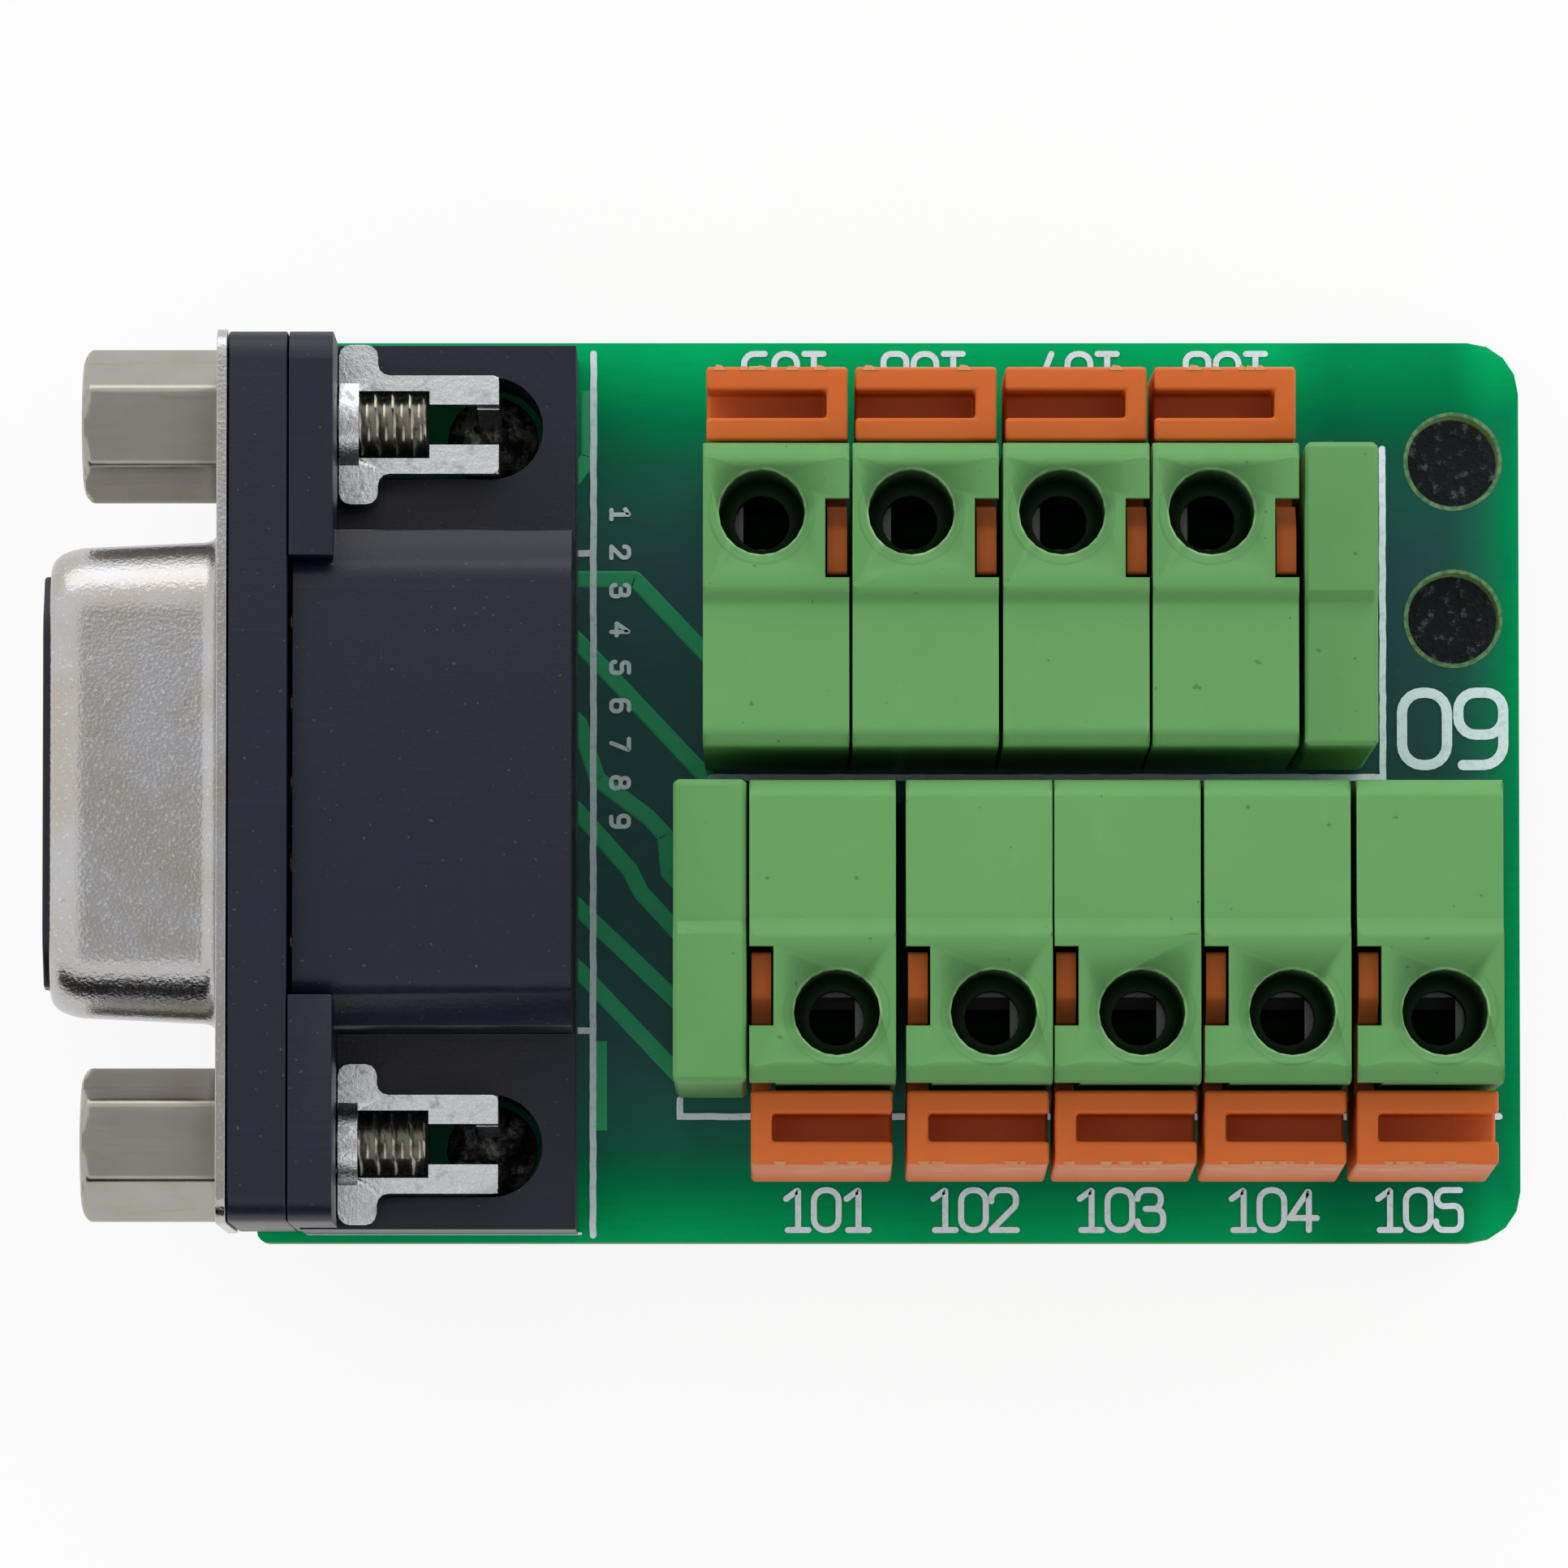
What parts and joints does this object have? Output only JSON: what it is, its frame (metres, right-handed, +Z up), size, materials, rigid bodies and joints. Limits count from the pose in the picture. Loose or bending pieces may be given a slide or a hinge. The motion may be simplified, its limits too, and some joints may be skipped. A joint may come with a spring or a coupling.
{
  "type": "d-sub terminal block adapter",
  "caption": "Right-angle D-sub socket on a small green board, wired to two back-to-back rows of lever-operated spring-clamp terminals, with mounting holes at the far end.",
  "frame": {"origin": "below the middle of the whole part, on the plane of the solder tips that it stands on", "axes": "+X from the D-sub socket to the mounting holes, +Z up from the board's underside to the wire entries, +Y to the edge that the mounting holes are nearer to"},
  "size_m": [0.0514, 0.0318, 0.0174],
  "materials": {
    "board": "green solder mask with white legend, semi-gloss",
    "nickel": "nickel-plated drawn and turned steel, satin",
    "tin": "tin-plated stamped metal, bright",
    "spring_steel": "bright spring strip",
    "gold": "flash gold on brass",
    "black": "moulded glass-filled plastic, matte",
    "green": "moulded light green plastic, matte",
    "orange": "moulded orange plastic with gate marks, matte"
  },
  "bodies": {
    "root": {"pcb": "board", "dsub_front_shell": "nickel", "dsub_front_insulator": "black", "dsub_rear_housing": "black", "jackscrew_upper": "nickel", "jackscrew_lower": "nickel", "fork_bracket_upper": "tin", "fork_bracket_lower": "tin", "end_plate_lower": "green", "end_plate_upper": "green", "dsub_contact_1": "gold", "dsub_contact_2": "gold", "dsub_contact_3": "gold", "dsub_contact_4": "gold", "dsub_contact_5": "gold", "dsub_contact_6": "gold", "dsub_contact_7": "gold", "dsub_contact_8": "gold", "dsub_contact_9": "gold", "pole_housing_1": "green", "current_bar_1": "tin", "clamp_spring_1": "spring_steel", "pole_housing_2": "green", "current_bar_2": "tin", "clamp_spring_2": "spring_steel", "pole_housing_3": "green", "current_bar_3": "tin", "clamp_spring_3": "spring_steel", "pole_housing_4": "green", "current_bar_4": "tin", "clamp_spring_4": "spring_steel", "pole_housing_5": "green", "current_bar_5": "tin", "clamp_spring_5": "spring_steel", "pole_housing_6": "green", "current_bar_6": "tin", "clamp_spring_6": "spring_steel", "pole_housing_7": "green", "current_bar_7": "tin", "clamp_spring_7": "spring_steel", "pole_housing_8": "green", "current_bar_8": "tin", "clamp_spring_8": "spring_steel", "pole_housing_9": "green", "current_bar_9": "tin", "clamp_spring_9": "spring_steel"},
    "lever_body_1": {"lever_1": "orange"},
    "lever_body_2": {"lever_2": "orange"},
    "lever_body_3": {"lever_3": "orange"},
    "lever_body_4": {"lever_4": "orange"},
    "lever_body_5": {"lever_5": "orange"},
    "lever_body_6": {"lever_6": "orange"},
    "lever_body_7": {"lever_7": "orange"},
    "lever_body_8": {"lever_8": "orange"},
    "lever_body_9": {"lever_9": "orange"}
  },
  "joints": [
    {"name": "lever_swing_1", "type": "hinge", "parent": "root", "child": "lever_body_1", "pos_m": [-0.00092, -0.00857, 0.00545], "axis": [1, 0, 0], "range_deg": [0, 20], "stiffness_Nm_per_rad": 0.01, "springref_deg": -28.65, "deforming": ["clamp_spring_1"]},
    {"name": "lever_swing_2", "type": "hinge", "parent": "root", "child": "lever_body_2", "pos_m": [0.00444, -0.00857, 0.00545], "axis": [1, 0, 0], "range_deg": [0, 20], "stiffness_Nm_per_rad": 0.01, "springref_deg": -28.65, "deforming": ["clamp_spring_2"]},
    {"name": "lever_swing_3", "type": "hinge", "parent": "root", "child": "lever_body_3", "pos_m": [0.00951, -0.00857, 0.00545], "axis": [1, 0, 0], "range_deg": [0, 20], "stiffness_Nm_per_rad": 0.01, "springref_deg": -28.65, "deforming": ["clamp_spring_3"]},
    {"name": "lever_swing_4", "type": "hinge", "parent": "root", "child": "lever_body_4", "pos_m": [0.01464, -0.00857, 0.00545], "axis": [1, 0, 0], "range_deg": [0, 20], "stiffness_Nm_per_rad": 0.01, "springref_deg": -28.65, "deforming": ["clamp_spring_4"]},
    {"name": "lever_swing_5", "type": "hinge", "parent": "root", "child": "lever_body_5", "pos_m": [0.01986, -0.00857, 0.00545], "axis": [1, 0, 0], "range_deg": [0, 20], "stiffness_Nm_per_rad": 0.01, "springref_deg": -28.65, "deforming": ["clamp_spring_5"]},
    {"name": "lever_swing_6", "type": "hinge", "parent": "root", "child": "lever_body_6", "pos_m": [0.01711, 0.00897, 0.00545], "axis": [-1, 0, 0], "range_deg": [0, 20], "stiffness_Nm_per_rad": 0.01, "springref_deg": -28.65, "deforming": ["clamp_spring_6"]},
    {"name": "lever_swing_7", "type": "hinge", "parent": "root", "child": "lever_body_7", "pos_m": [0.01199, 0.00897, 0.00545], "axis": [-1, 0, 0], "range_deg": [0, 20], "stiffness_Nm_per_rad": 0.01, "springref_deg": -28.65, "deforming": ["clamp_spring_7"]},
    {"name": "lever_swing_8", "type": "hinge", "parent": "root", "child": "lever_body_8", "pos_m": [0.00683, 0.00897, 0.00545], "axis": [-1, 0, 0], "range_deg": [0, 20], "stiffness_Nm_per_rad": 0.01, "springref_deg": -28.65, "deforming": ["clamp_spring_8"]},
    {"name": "lever_swing_9", "type": "hinge", "parent": "root", "child": "lever_body_9", "pos_m": [0.00171, 0.00897, 0.00545], "axis": [-1, 0, 0], "range_deg": [0, 20], "stiffness_Nm_per_rad": 0.01, "springref_deg": -28.65, "deforming": ["clamp_spring_9"]}
  ]
}
